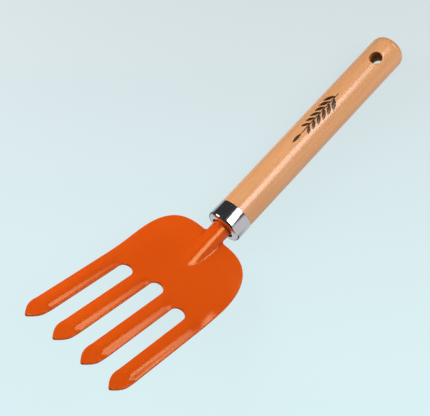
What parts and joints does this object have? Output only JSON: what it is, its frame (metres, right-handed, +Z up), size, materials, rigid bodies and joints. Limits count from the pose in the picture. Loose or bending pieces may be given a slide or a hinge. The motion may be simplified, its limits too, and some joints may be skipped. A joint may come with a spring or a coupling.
{
  "type": "hand fork",
  "caption": "Short-handled garden fork: pressed steel head with flat upswept tines, plated ferrule and turned wooden grip with a hanging hole.",
  "frame": {"origin": "middle of the hanging hole, on the handle's axis", "axes": "+X along the handle towards the tines, +Z up on the side the tines bend to, +Y across the head"},
  "size_m": [0.294, 0.0728, 0.0739],
  "materials": {
    "head_paint": "gloss orange powder coat",
    "ferrule_plate": "bright nickel-chrome plate",
    "handle_wood": "clear varnish over pale straight-grained wood"
  },
  "bodies": {
    "root": {"fork_head": "head_paint", "ferrule": "ferrule_plate", "handle": "handle_wood"}
  },
  "joints": []
}
